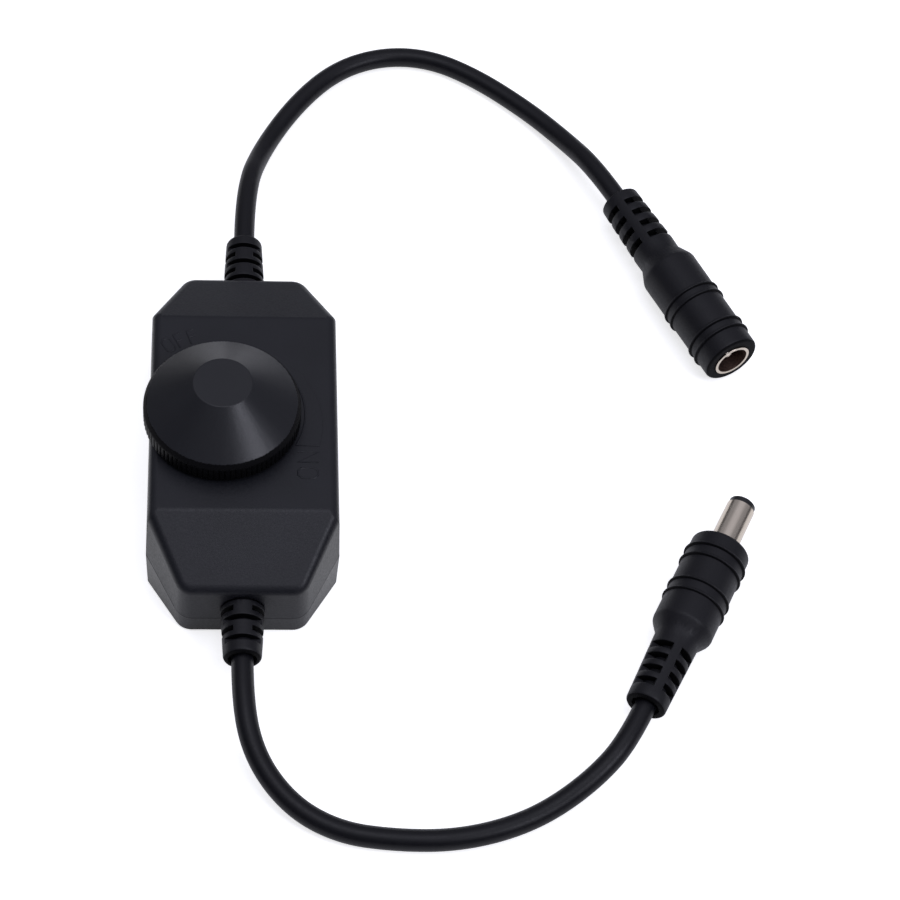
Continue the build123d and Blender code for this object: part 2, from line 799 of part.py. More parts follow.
# Strain reliefs: flanged inside the wall, slotted alternately above and beside outside it
for end, reach, name in ((1, grommet_reach_in, "input"), (-1, grommet_reach_out, "output")):
    grommet_tip = half_length + reach
    with BuildPart() as grommet:
        with BuildSketch(end_plane(end, half_length + seat_gap)):
            Circle(grommet_radius)
        with BuildSketch(end_plane(end, grommet_tip)):
            Circle(grommet_tip_radius)
        loft()
        circles = grommet.edges().filter_by(GeomType.CIRCLE).sort_by(Axis((0, 0, 0), (0, end, 0)))
        fillet(circles[-1], grommet_tip_fillet)
        with BuildSketch(end_plane(end, flange_face)):
            Circle(grommet_neck_radius)
        extrude(amount=half_length + 1 - flange_face)
        with BuildSketch(end_plane(end, flange_back)):
            RectangleRounded(grommet_flange_width, grommet_flange_height, grommet_flange_corner)
        extrude(amount=grommet_flange_thickness)
        for step in range(grommet_slot_count):
            slot_at = grommet_tip - grommet_first_slot - step * grommet_slot_pitch
            if slot_at > half_length + slot_wall_gap:
                with BuildSketch(end_plane(end, slot_at - grommet_slot_width / 2)):
                    Circle(grommet_radius + 1)
                    Circle(grommet_core_radius, mode=Mode.SUBTRACT)
                    Rectangle(
                        3 * grommet_radius,
                        grommet_bridge_width,
                        rotation=90 * (step % 2),
                        mode=Mode.SUBTRACT,
                    )
                extrude(amount=grommet_slot_width, mode=Mode.SUBTRACT)
        with BuildSketch(end_plane(end, grommet_tip - cord_recess)):
            Circle(recess_radius)
        extrude(amount=2 * cord_recess, mode=Mode.SUBTRACT)
    keep(grommet.part, f"{name}_grommet")

# Cords, from the recess in the strain relief to the recess in the connector
jack_plane = connector_plane(jack_x, jack_y, jack_heading, jack_roll)
plug_plane = connector_plane(plug_x, plug_y, plug_heading, plug_roll)
input_route = [
    (0, half_length + grommet_reach_in - cord_recess, grommet_z),
    (0, 62.2, grommet_z),
    (4.0, 78.6, cord_z),
    (11.3, 91.2, cord_z),
    (19.5, 100.1, cord_z),
    (29.2, 104.2, cord_z),
    (39.2, 103.7, cord_z),
    (48.7, 98.6, cord_z),
    (58.8, 90.1, cord_z),
    (66.2, 81.2, 3.0),
    along(jack_plane, -9.3),
    along(jack_plane, cord_recess),
]
output_route = [
    (0, -half_length - grommet_reach_out + cord_recess, grommet_z),
    (0, -55.0, grommet_z),
    (2.5, -64.6, 5.3),
    (8.7, -72.4, 2.9),
    (17.0, -77.0, cord_z),
    (26.6, -78.5, cord_z),
    (36.6, -78.6, cord_z),
    (45.9, -76.6, cord_z),
    (54.1, -73.0, 2.3),
    (62.3, -67.5, 4.3),
    along(plug_plane, -7.7),
    along(plug_plane, cord_recess),
]
for name, route in (("input_cord", input_route), ("output_cord", output_route)):
    keep(soft_tube(route, cord_radius), name)
    print(name, "corner radii", [round(radius, 1) for radius in corner_radii(route)])

# Female connector: moulded body, slit sleeve, insulator and centre pin
jack_axis = Axis(jack_plane.origin, jack_plane.z_dir)
jack_form = moulded_body(
    jack_plane, jack_axis, jack_tail_radius, jack_neck, jack_shoulder, jack_length, jack_rings
)
jack_cuts = tail_slots(jack_plane, jack_slots, jack_slot_width, body_radius)
jack_windows = tail_slots(jack_plane, jack_slots, tail_slot_width, jack_window_width)
with BuildPart() as jack_body:
    add(jack_form)
    add(jack_cuts, mode=Mode.SUBTRACT)
    add(jack_windows, mode=Mode.SUBTRACT)
    with BuildSketch(jack_plane.offset(jack_floor)):
        Circle(jack_sleeve_radius + seat_gap)
    extrude(amount=2 * jack_sleeve_length, mode=Mode.SUBTRACT)
keep(jack_body.part, "jack_body")

with BuildPart() as jack_sleeve:
    with BuildSketch(jack_plane.offset(jack_floor)):
        Circle(jack_sleeve_radius)
        Circle(jack_bore_radius, mode=Mode.SUBTRACT)
    extrude(amount=jack_sleeve_length + jack_sleeve_proud)
    with BuildSketch(jack_plane.offset(jack_length - jack_slit_length)):
        with Locations((0, jack_sleeve_radius)):
            Rectangle(jack_slit, jack_sleeve_radius)
    extrude(amount=2 * jack_slit_length, mode=Mode.SUBTRACT)
keep(jack_sleeve.part, "jack_sleeve")

jack_insulator = tube(
    jack_plane,
    jack_bore_radius - thread_clearance,
    jack_pin_radius + thread_clearance,
    jack_floor,
    jack_floor + insulator_thickness,
)
keep(jack_insulator, "jack_insulator")

with BuildPart() as jack_pin:
    with BuildSketch(jack_plane.offset(jack_floor)):
        Circle(jack_pin_radius)
    extrude(amount=jack_sleeve_length - jack_pin_recess)
    pin_tip = jack_pin.edges().filter_by(GeomType.CIRCLE).sort_by(jack_axis)[-1]
    fillet(pin_tip, jack_pin_round * jack_pin_radius)
keep(jack_pin.part, "jack_pin")

# Male connector: moulded body, barrel, insulator with a flange at the tip, and the socket contact
plug_axis = Axis(plug_plane.origin, plug_plane.z_dir)
plug_form = moulded_body(
    plug_plane, plug_axis, plug_tail_radius, plug_neck, plug_shoulder, plug_length, plug_rings
)
plug_cuts = tail_slots(plug_plane, plug_slots, tail_slot_width, body_radius, tail_side_web)
with BuildPart() as plug_body:
    add(plug_form)
    add(plug_cuts, mode=Mode.SUBTRACT)
    with BuildSketch(plug_plane.offset(barrel_start)):
        Circle(barrel_root_radius + thread_clearance)
    extrude(amount=2 * barrel_root_depth, mode=Mode.SUBTRACT)
keep(plug_body.part, "plug_body")

with BuildPart() as plug_barrel:
    add(tube(plug_plane, barrel_root_radius, barrel_bore_radius, barrel_start, plug_length))
    add(tube(plug_plane, barrel_radius, barrel_bore_radius, barrel_start, barrel_end))
keep(plug_barrel.part, "plug_barrel")

with BuildPart() as plug_insulator:
    with BuildSketch(plug_plane.offset(barrel_start)):
        Circle(barrel_bore_radius - thread_clearance)
    extrude(amount=barrel_end - barrel_start)
    with BuildSketch(plug_plane.offset(barrel_end)):
        Circle(barrel_radius - tip_step)
    extrude(amount=tip_length)
    tip_edge = plug_insulator.edges().filter_by(GeomType.CIRCLE).sort_by(plug_axis)[-1]
    chamfer(tip_edge, tip_chamfer)
    with BuildSketch(plug_plane.offset(barrel_start)):
        Circle(contact_radius + thread_clearance)
    extrude(amount=2 * barrel_end, mode=Mode.SUBTRACT)
keep(plug_insulator.part, "plug_insulator")

with BuildPart() as plug_center_contact:
    with BuildSketch(plug_plane.offset(barrel_start)):
        Circle(contact_radius)
    extrude(amount=plug_tip - tip_chamfer - barrel_start)
    with BuildSketch(plug_plane.offset(plug_tip - contact_depth)):
        Circle(contact_bore_radius)
    extrude(amount=2 * contact_depth, mode=Mode.SUBTRACT)
keep(plug_center_contact.part, "plug_center_contact")

# Parts on the board
tx, ty = transistor_place
power_transistor_blocks = [
    board_block(transistor_case, transistor_place, transistor_tab[2]),
    board_block(transistor_tab, (tx, ty + transistor_tab_shift)),
    board_block(transistor_lead, (tx - transistor_lead_x, ty + transistor_lead_y)),
    board_block(transistor_lead, (tx + transistor_lead_x, ty + transistor_lead_y)),
]
with BuildPart() as power_transistor:
    add(power_transistor_blocks)
keep(power_transistor.part, "power_transistor")

lead_shift = (chip_size[0] + chip_lead[0]) / 2
chip_blocks = [board_block(chip_size, chip_place, part_lift)]
for side in ends:
    for step in (-1.5, -0.5, 0.5, 1.5):
        lead_at = (chip_place[0] + side * lead_shift, chip_place[1] + step * chip_lead_pitch)
        chip_blocks.append(board_block(chip_lead, lead_at))
with BuildPart() as timer_chip:
    add(chip_blocks)
keep(timer_chip.part, "timer_chip")

diode_lead_shift = (diode_size[1] + diode_lead[1]) / 2 - part_lift
diode_blocks = [
    board_block(diode_size, diode_place, part_lift),
    board_block(diode_lead, (diode_place[0], diode_place[1] - diode_lead_shift)),
    board_block(diode_lead, (diode_place[0], diode_place[1] + diode_lead_shift)),
]
with BuildPart() as flyback_diode:
    add(diode_blocks)
keep(flyback_diode.part, "flyback_diode")

with BuildPart() as smoothing_capacitor:
    with BuildSketch(Plane.XY.offset(board_top)):
        with Locations(capacitor_place):
            Circle(capacitor_radius)
    extrude(amount=ceiling_z - capacitor_top_gap - board_top)
    fillet(smoothing_capacitor.edges().sort_by(Axis.Z)[-1], capacitor_fillet)
keep(smoothing_capacitor.part, "smoothing_capacitor")

small_parts = (("chip_resistors", resistor_places), ("chip_capacitors", small_capacitor_places))
for name, places in small_parts:
    with BuildPart() as small_chips:
        with BuildSketch(Plane.XY.offset(board_top)):
            with Locations(*places):
                Rectangle(small_chip[0], small_chip[1])
        extrude(amount=small_chip[2])
    keep(small_chips.part, name)

# Cores of the cords inside the case, from each strain relief's flange down to the board
lead_z = board_top + lead_radius + seat_gap
for end, name in ((1, "input"), (-1, "output")):
    for side, colour in ((-1, "red"), (1, "black")):
        core_route = [
            (side * lead_offset, end * flange_back, grommet_z),
            (side * (lead_offset + 0.1), end * (flange_back - 3.4), grommet_z),
            (side * (lead_offset + 1.2), end * (flange_back - 6.9), lead_z),
            (side * (lead_offset + 1.5), end * (flange_back - 10.3), lead_z),
        ]
        keep(soft_tube(core_route, lead_radius), f"{name}_lead_{colour}")
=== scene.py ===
import math

import bmesh
import bpy
from mathutils import Matrix, Vector


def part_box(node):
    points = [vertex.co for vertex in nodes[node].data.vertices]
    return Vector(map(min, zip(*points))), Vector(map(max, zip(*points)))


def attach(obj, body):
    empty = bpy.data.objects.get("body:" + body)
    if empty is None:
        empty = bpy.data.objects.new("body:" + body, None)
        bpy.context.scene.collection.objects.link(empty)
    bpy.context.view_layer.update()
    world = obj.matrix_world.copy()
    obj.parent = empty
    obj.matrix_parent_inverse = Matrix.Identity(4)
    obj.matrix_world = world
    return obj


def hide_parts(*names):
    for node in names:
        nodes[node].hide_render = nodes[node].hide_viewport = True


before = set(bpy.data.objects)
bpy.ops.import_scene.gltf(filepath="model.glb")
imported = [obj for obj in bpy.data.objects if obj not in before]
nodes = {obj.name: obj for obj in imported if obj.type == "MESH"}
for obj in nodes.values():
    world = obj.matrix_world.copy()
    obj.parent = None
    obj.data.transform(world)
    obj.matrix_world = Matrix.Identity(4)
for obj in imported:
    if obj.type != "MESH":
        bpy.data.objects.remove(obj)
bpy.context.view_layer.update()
MM = 0.001

# Camera: solved from the straight edges of the case, 900 x 900 picture
FOCAL_PX = 2737.8
PICTURE_PX = 900
SENSOR_MM = 36.0
CAMERA_PLACE = Vector((-4.905, -289.72, 432.96)) * MM
CAMERA_HEADING = math.radians(-8.6)
CAMERA_TILT = math.radians(34.555)
CAMERA_ROLL = math.radians(7.71)

# Places and sizes: the case's from the frame, and the connectors' places as the CAD has them
SLOPE_LENGTH = 14.1 * MM
SLOPE_DROP = 6.1 * MM
TAPER_LENGTH = 10.5 * MM
TAPER_DEPTH = 6.5 * MM
case_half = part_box("upper_shell")[1]
roof_z = case_half.z
crease_y = case_half.y - SLOPE_LENGTH
corner_y = case_half.y - TAPER_LENGTH
ROOF_FALL = SLOPE_DROP / SLOPE_LENGTH
PARTING_SIDE_Z = 9.8 * MM
PARTING_END_Z = 5.0 * MM
CORD_RADIUS = 2.0 * MM
CASE_AXIS = Vector((0.0, 1.0, 0.0))
JACK_PLACE = Vector((75.9, 62.4, 6.25))
JACK_HEADING = math.radians(-64.0)
JACK_AXIS = Vector((math.cos(JACK_HEADING), math.sin(JACK_HEADING), 0.0))
JACK_CUTS = (3.4, 6.5, 9.6, 12.7)
PLUG_PLACE = Vector((71.9, -54.3, 6.25))
PLUG_HEADING = math.radians(63.1)
PLUG_AXIS = Vector((math.cos(PLUG_HEADING), math.sin(PLUG_HEADING), 0.0))


def colour(hex_code, alpha=1.0):
    """An sRGB hex colour as linear values."""
    values = [int(hex_code[i:i + 2], 16) / 255 for i in (1, 3, 5)]
    linear = [v / 12.92 if v <= 0.04045 else ((v + 0.055) / 1.055) ** 2.4 for v in values]
    return (*linear, alpha)


def add_node(tree, kind, settings=None, links=None):
    """A shader node with its input values or attributes set and its inputs linked."""
    node = tree.nodes.new(kind)
    for name, value in (settings or {}).items():
        if isinstance(name, str) and name not in node.inputs:
            setattr(node, name, value)
        else:
            node.inputs[name].default_value = value
    for name, socket in (links or {}).items():
        tree.links.new(socket, node.inputs[name])
    return node


def new_material(name, base, roughness, metallic=0.0, **sockets):
    """A material with one Principled shader, and that shader and its tree to add nodes to."""
    material = bpy.data.materials.new(name)
    material.use_nodes = True
    tree = material.node_tree
    shader = tree.nodes["Principled BSDF"]
    shader.inputs["Base Color"].default_value = colour(base)
    shader.inputs["Roughness"].default_value = roughness
    shader.inputs["Metallic"].default_value = metallic
    for name, value in sockets.items():
        shader.inputs[name.replace("_", " ")].default_value = value
    return material, tree, shader


def moulded_plastic(name, dark, light, roughness, grain_mm, depth_mm, specular=0.3):
    """Moulded plastic with the grain of its mould: a very slightly mottled colour, gloss and relief."""
    material, tree, shader = new_material(name, dark, roughness, Specular_IOR_Level=specular)
    place = add_node(tree, "ShaderNodeTexCoord").outputs["Object"]
    grain = add_node(
        tree, "ShaderNodeTexNoise", {"Scale": 1 / (grain_mm * MM), "Detail": 3.0, "Roughness": 0.6},
        {"Vector": place},
    ).outputs["Fac"]
    cloud = add_node(
        tree, "ShaderNodeTexNoise", {"Scale": 1 / (9 * MM), "Detail": 2.0}, {"Vector": place}
    ).outputs["Fac"]
    tint = add_node(
        tree, "ShaderNodeMix", {"data_type": "RGBA", 6: colour(dark), 7: colour(light)}, {0: cloud}
    )
    gloss = add_node(
        tree, "ShaderNodeMapRange",
        {"From Min": 0.35, "From Max": 0.65, "To Min": roughness - 0.05, "To Max": roughness + 0.05},
        {"Value": grain},
    )
    relief = add_node(
        tree, "ShaderNodeBump", {"Strength": 0.6, "Distance": depth_mm * MM}, {"Height": grain}
    )
    tree.links.new(tint.outputs[2], shader.inputs["Base Color"])
    tree.links.new(gloss.outputs["Result"], shader.inputs["Roughness"])
    tree.links.new(relief.outputs["Normal"], shader.inputs["Normal"])
    return material


def metal(name, base, roughness, mark_mm, tone="#000000", tone_share=0.0):
    """Bare metal whose gloss varies with handling marks mark_mm across, and whose colour may cloud."""
    material, tree, shader = new_material(name, base, roughness, 1.0)
    place = add_node(tree, "ShaderNodeTexCoord").outputs["Object"]
    marks = add_node(
        tree, "ShaderNodeTexNoise", {"Scale": 1 / (mark_mm * MM), "Detail": 4.0}, {"Vector": place}
    ).outputs["Fac"]
    gloss = add_node(
        tree, "ShaderNodeMapRange",
        {"From Min": 0.3, "From Max": 0.7, "To Min": roughness * 0.75, "To Max": roughness * 1.3},
        {"Value": marks},
    )
    tree.links.new(gloss.outputs["Result"], shader.inputs["Roughness"])
    if tone_share:
        share = add_node(
            tree, "ShaderNodeMapRange", {"From Min": 0.35, "From Max": 0.75, "To Max": tone_share},
            {"Value": marks},
        )
        tint = add_node(
            tree, "ShaderNodeMix", {"data_type": "RGBA", 6: colour(base), 7: colour(tone)},
            {0: share.outputs["Result"]},
        )
        tree.links.new(tint.outputs[2], shader.inputs["Base Color"])
    return material


# Acrylonitrile butadiene styrene in a spark-eroded mould: a cool near-black with a fine dry grain
case_plastic = moulded_plastic("spark textured black ABS", "#111217", "#1a1b21", 0.42, 0.4, 0.035)

# Where the two shells meet, a fine line of shadow that falls towards both ends with the parting line
tree = case_plastic.node_tree
shader = tree.nodes["Principled BSDF"]
place = add_node(tree, "ShaderNodeTexCoord").outputs["Object"]
axes = add_node(tree, "ShaderNodeSeparateXYZ", {}, {"Vector": place})
along_case = add_node(tree, "ShaderNodeMath", {"operation": "ABSOLUTE"}, {0: axes.outputs["Y"]})
parting_z = add_node(
    tree, "ShaderNodeMapRange",
    {"From Min": corner_y, "From Max": case_half.y, "To Min": PARTING_SIDE_Z, "To Max": PARTING_END_Z},
    {"Value": along_case.outputs[0]},
)
above = add_node(
    tree, "ShaderNodeMath", {"operation": "SUBTRACT"},
    {0: axes.outputs["Z"], 1: parting_z.outputs["Result"]},
)
distance = add_node(tree, "ShaderNodeMath", {"operation": "ABSOLUTE"}, {0: above.outputs[0]})
shade = add_node(
    tree, "ShaderNodeMapRange",
    {"From Min": 0.06 * MM, "From Max": 0.22 * MM, "To Min": 0.3, "To Max": 1.0},
    {"Value": distance.outputs[0]},
)
shaded_tint = add_node(
    tree, "ShaderNodeMix", {"data_type": "RGBA", 6: colour("#050507")},
    {0: shade.outputs["Result"], 7: shader.inputs["Base Color"].links[0].from_socket},
)
shaded_gloss = add_node(
    tree, "ShaderNodeMix", {"data_type": "FLOAT", 2: 0.95},
    {0: shade.outputs["Result"], 3: shader.inputs["Roughness"].links[0].from_socket},
)
tree.links.new(shaded_tint.outputs[2], shader.inputs["Base Color"])
tree.links.new(shaded_gloss.outputs[0], shader.inputs["Roughness"])

# The same plastic from a smoother mould: a satin sheen that sweeps round the cone
knob_plastic = moulded_plastic("satin black ABS", "#121318", "#18191e", 0.36, 0.18, 0.008, 0.36)
# The same plastic on the knurled skirt and under the rim: flat, and darker with painted shade
shaded_knurl_plastic = moulded_plastic("knurled black ABS", "#060608", "#09090b", 0.6, 0.2, 0.01, 0.08)
# Soft vinyl moulded over the cord: a drier, rubbery dark grey with no clear reflection
soft_vinyl = moulded_plastic("moulded black vinyl", "#0c0c11", "#121217", 0.5, 0.4, 0.012, 0.26)
# The same vinyl on faces that look along the cord, darker with painted shade: almost no sheen
shaded_vinyl = moulded_plastic("shaded black vinyl", "#050507", "#08080a", 0.65, 0.4, 0.01, 0.08)
# Extruded vinyl sheath: smoother than the mouldings, with one soft bright line along it
cord_vinyl = moulded_plastic("extruded black vinyl", "#0b0b10", "#101015", 0.4, 0.5, 0.006, 0.22)
# Coloured vinyl of the cores inside the case, a little waxy
red_vinyl = moulded_plastic("extruded red vinyl", "#8f1b1a", "#a3231f", 0.4, 0.5, 0.006)
black_vinyl = moulded_plastic("extruded black core vinyl", "#121214", "#17171a", 0.4, 0.5, 0.006)
# Nickel on turned brass: bright and slightly warm, dulled here and there by handling
nickel = metal("bright nickel plated brass", "#c6bcae", 0.2, 1.5)
# The bare bore of the jack's sleeve: dull brown brass that scatters what light gets in
bore_brass = metal("dull brass bore", "#77635a", 0.55, 0.5, "#4d3d36", 0.6)
# The jack's pin: the same nickel, worn to a satin that scatters the light inside the socket
pin_nickel = metal("worn nickel pin", "#e6ddd0", 0.5, 0.4)
# Zinc on pressed steel: greyer and softer than nickel, with pale clouds
zinc = metal("zinc plated pressed steel", "#b4b7bb", 0.34, 1.2, "#8e9296", 0.6)
# Blackened screw steel: dark, with a faint oily sheen
black_steel = metal("black oxide screw steel", "#3a3b3e", 0.36, 0.8)
# Turned aluminium of the pot's shaft: pale and even
aluminium = metal("turned aluminium", "#c9cacb", 0.3, 0.6)
# Phosphor bronze spring strip: a warm brown gold
bronze = metal("phosphor bronze strip", "#b58a55", 0.28, 0.8, "#7f5c36", 0.5)
# Tinned brass pins and contact: white metal with a satin solder bloom
tinned = metal("tinned brass", "#bdbcb6", 0.3, 0.7, "#8f8e88", 0.5)
# Phenolic paper: brown board with a fibrous mottle
phenolic = moulded_plastic("phenolic paper board", "#4b2a18", "#5e3822", 0.5, 0.25, 0.01, 0.4)
# Phenolic moulding at the bottom of the jack: a red brown that shows between the sleeve and the pin
phenolic_disc = moulded_plastic("brown phenolic moulding", "#6b4a3c", "#82604f", 0.5, 0.3, 0.006, 0.4)
# Acetal of the rotor and the switch block: milky and smooth
acetal = moulded_plastic("white acetal", "#cfccc2", "#dad7ce", 0.38, 0.3, 0.004, 0.4)
# Nylon of the plug's tip: black and smooth
nylon = moulded_plastic("black nylon", "#101113", "#151618", 0.36, 0.25, 0.004, 0.4)
# Glass fibre board under green solder mask: glossy, with the weave just showing through
board_green = moulded_plastic("green masked glass fibre board", "#1c4a2c", "#236038", 0.28, 0.5, 0.01, 0.5)
# Epoxy of the chips: flat dark grey
epoxy = moulded_plastic("black moulding epoxy", "#202123", "#27282a", 0.55, 0.15, 0.006, 0.4)
# Vinyl sleeve of the capacitor: dark blue and shiny
capacitor_sleeve = moulded_plastic("shrunk blue vinyl sleeve", "#15233f", "#1b2c4d", 0.3, 0.8, 0.006, 0.5)
# Fired ceramic of the small chips: pale brown, dry
ceramic = moulded_plastic("fired ceramic", "#8d7a63", "#9b8973", 0.5, 0.2, 0.006, 0.4)

FINISHES = {
    "upper_shell": case_plastic,
    "lower_shell": case_plastic,
    "knob": knob_plastic,
    "input_grommet": soft_vinyl,
    "output_grommet": soft_vinyl,
    "jack_body": soft_vinyl,
    "plug_body": soft_vinyl,
    "input_cord": cord_vinyl,
    "output_cord": cord_vinyl,
    "jack_sleeve": nickel,
    "jack_pin": pin_nickel,
    "plug_barrel": nickel,
    "plug_center_contact": tinned,
    "plug_insulator": nylon,
    "jack_insulator": phenolic_disc,
    "housing_screws": black_steel,
    "pot_can": zinc,
    "pot_washer": zinc,
    "pot_nut": nickel,
    "pot_bushing": nickel,
    "pot_shaft": aluminium,
    "pot_rotor": acetal,
    "pot_switch": acetal,
    "pot_wiper": bronze,
    "pot_track_wafer": phenolic,
    "pot_terminals": tinned,
    "circuit_board": board_green,
    "power_transistor": epoxy,
    "timer_chip": epoxy,
    "flyback_diode": epoxy,
    "smoothing_capacitor": capacitor_sleeve,
    "chip_resistors": epoxy,
    "chip_capacitors": ceramic,
    "input_lead_red": red_vinyl,
    "input_lead_black": black_vinyl,
    "output_lead_red": red_vinyl,
    "output_lead_black": black_vinyl,
}
for name, material in FINISHES.items():
    nodes[name].data.materials.clear()
    nodes[name].data.materials.append(material)


def finished_piece(name, shape, material, body, sharp_deg=50.0):
    """Makes a bmesh a smooth shaded piece that rides on a body, with true flats beside its curves."""
    for face in shape.faces:
        face.smooth = True
    for edge in shape.edges:
        edge.smooth = edge.calc_face_angle(0.0) < math.radians(sharp_deg)
    mesh = bpy.data.meshes.new(name)
    shape.to_mesh(mesh)
    shape.free()
    mesh.materials.append(material)
    piece = bpy.data.objects.new(name, mesh)
    bpy.context.scene.collection.objects.link(piece)
    weighting = piece.modifiers.new("flats", "WEIGHTED_NORMAL")
    weighting.keep_sharp = True
    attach(piece, body)
    return piece


def is_roof_crease(edge):
    """Whether an edge divides the flat roof from one of its two slopes."""
    flats = sorted(face.normal.z for face in edge.link_faces)
    return flats[-1] > 0.9999 and 0.8 < flats[0] < 0.95


def is_outer_edge(edge):
    """Whether an edge is a hard one that stands out, where a mould leaves a small radius."""
    return edge.is_convex and edge.calc_face_angle(0.0) > math.radians(30)


def shape_jack_tail(shape):
    """Makes the jack's slotted tail a little stouter, and opens its cuts outward."""
    swell, tail_end, body_start = 0.08, 14.0 * MM, 20.0 * MM
    bore_radius, core_radius, tooth_radius = 3.0 * MM, 2.4 * MM, 4.1 * MM
    half_cut, opening = 0.35 * MM, 0.42 * MM
    for vertex in shape.verts:
        place = vertex.co - JACK_PLACE * MM
        reach = place.dot(JACK_AXIS)
        out = place - JACK_AXIS * reach
        fade = min(1.0, max(0.0, (body_start - reach) / (body_start - tail_end)))
        if out.length > bore_radius:
            vertex.co += out * (swell * fade)
        past = min((reach - cut * MM for cut in JACK_CUTS), key=abs)
        if abs(past) < half_cut:
            share = (out.length - core_radius) / (tooth_radius - core_radius)
            vertex.co += JACK_AXIS * math.copysign(opening * min(1.0, max(0.0, share)), past)


def is_skirt(face):
    """Whether a face of the knob lies on its rounded rim or below it."""
    return face.normal.z < 0.75


def is_jack_bore(face):
    """Whether a face of the jack's sleeve looks in at its axis."""
    out = face.calc_center_median() - JACK_PLACE * MM
    out -= JACK_AXIS * out.dot(JACK_AXIS)
    return face.normal.dot(out.normalized()) < -0.5


def lean_corners(shape):
    """Leans the case's four corner faces, so that at the roof they start where its slopes do."""
    lean, skin = 2.9 * MM, 0.8 * MM
    for vertex in shape.verts:
        x, y, z = abs(vertex.co.x), abs(vertex.co.y), vertex.co.z
        top = roof_z - (y - crease_y) * ROOF_FALL
        beside = (case_half.x - x) * TAPER_LENGTH - (y - corner_y) * TAPER_DEPTH
        beside /= math.hypot(TAPER_DEPTH, TAPER_LENGTH)
        depth = min(case_half.x - x, beside, case_half.y - y, top - z)
        if y > crease_y and z > PARTING_SIDE_Z and depth < skin:
            height = (z - PARTING_SIDE_Z) / (top - PARTING_SIDE_Z)
            new_corner = corner_y - lean * height
            if y < corner_y:
                moved = crease_y + (y - crease_y) * (new_corner - crease_y) / (corner_y - crease_y)
            else:
                moved = case_half.y - (case_half.y - y) * (case_half.y - new_corner) / TAPER_LENGTH
            vertex.co.y = math.copysign(moved, vertex.co.y)
            vertex.co.z += (y - moved) * ROOF_FALL * height


def looks_along(face, axis):
    """Whether a face looks along an axis rather than outward from it."""
    return abs(face.normal.dot(axis)) > 0.6


def moulded_copy(
    node, body, edge_mm, is_rounded=is_outer_edge, shaded=None, is_shaded=None, reshape=None,
):
    """A merged copy of a CAD node, with a small radius on the edges that is_rounded picks.

    The faces that is_shaded picks take the second material. Reshape comes before the radius."""
    shape = bmesh.new()
    shape.from_mesh(nodes[node].data)
    bmesh.ops.remove_doubles(shape, verts=shape.verts, dist=0.001 * MM)
    bmesh.ops.dissolve_limit(
        shape, angle_limit=math.radians(0.6), verts=shape.verts, edges=shape.edges,
    )
    bmesh.ops.recalc_face_normals(shape, faces=shape.faces)
    if reshape:
        reshape(shape)
    rounded = [edge for edge in shape.edges if is_rounded(edge)]
    bmesh.ops.bevel(
        shape, geom=rounded, offset=edge_mm * MM, offset_type="OFFSET", segments=2, profile=0.5,
        affect="EDGES", material=-1, clamp_overlap=False,
    )
    if is_shaded:
        for face in shape.faces:
            face.material_index = int(is_shaded(face))
    piece = finished_piece(f"{node}_moulding", shape, FINISHES[node], body)
    if is_shaded:
        piece.data.materials.append(shaded)
    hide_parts(node)
    return piece


moulded_copy("upper_shell", "housing", 0.45, is_roof_crease, reshape=lean_corners)
# The knob's rim and skirt take the darker copy of its plastic: painted shade on its sides
moulded_copy("knob", "knob", 0.1, shaded=shaded_knurl_plastic, is_shaded=is_skirt)
# Faces of the grommets, the jack and the plug that look along the cord take the vinyl with painted shade
for name in ("input_grommet", "output_grommet"):
    moulded_copy(
        name, "housing", 0.15, shaded=shaded_vinyl, is_shaded=lambda face: looks_along(face, CASE_AXIS),
    )
jack_moulding = moulded_copy(
    "jack_body", "housing", 0.12, shaded=shaded_vinyl,
    is_shaded=lambda face: looks_along(face, JACK_AXIS), reshape=shape_jack_tail,
)
jack_sleeve = moulded_copy("jack_sleeve", "housing", 0.08, shaded=bore_brass, is_shaded=is_jack_bore)
plug_moulding = moulded_copy(
    "plug_body", "housing", 0.2, shaded=shaded_vinyl,
    is_shaded=lambda face: looks_along(face, PLUG_AXIS),
)

# Marks moulded on the roof, in millimetres: ON, OFF and the outline of a wedge that widens towards ON
KNOB_AXIS = Vector((-4.0, -1.55))
MARK_RADIUS = 0.22
OFF_RADIUS = 17.7
OFF_HEIGHT = 3.15
OFF_LETTERS = (("O", 124.5, 121.9, 1.75), ("F", 116.6, 116.6, 1.45), ("F", 109.3, 109.3, 1.45))
ON_LETTERS = (("O", Vector((13.4, -14.68)), 3.6), ("N", Vector((13.6, -11.18)), 3.9))
ON_WIDTH = 2.25
ON_UP = Vector((-1, 0))
WEDGE_CENTRE = Vector((-4.0, -0.5))
WEDGE_RADIUS = 15.2
WEDGE_WIDTH = 3.95
WEDGE_STEPS = 48
WEDGE_INNER_START, WEDGE_INNER_TURN = -27.5, 2.2
WEDGE_OUTER_START, WEDGE_OUTER_TURN = -21.6, 2.1


def letter_strokes(letter, width, height):
    """Centre lines of a plain letter, from its lower left corner, and whether each one closes."""
    nip = 0.3 * width
    strokes = {
        "F": [
            ([(0, 0), (0, height), (width, height)], False),
            ([(0, 0.52 * height), (0.85 * width, 0.52 * height)], False),
        ],
        "N": [([(0, 0), (0, height), (width, 0), (width, height)], False)],
        "O": [([
            (nip, 0), (width - nip, 0), (width, nip), (width, height - nip),
            (width - nip, height), (nip, height), (0, height - nip), (0, nip),
        ], True)],
    }
    return strokes[letter]


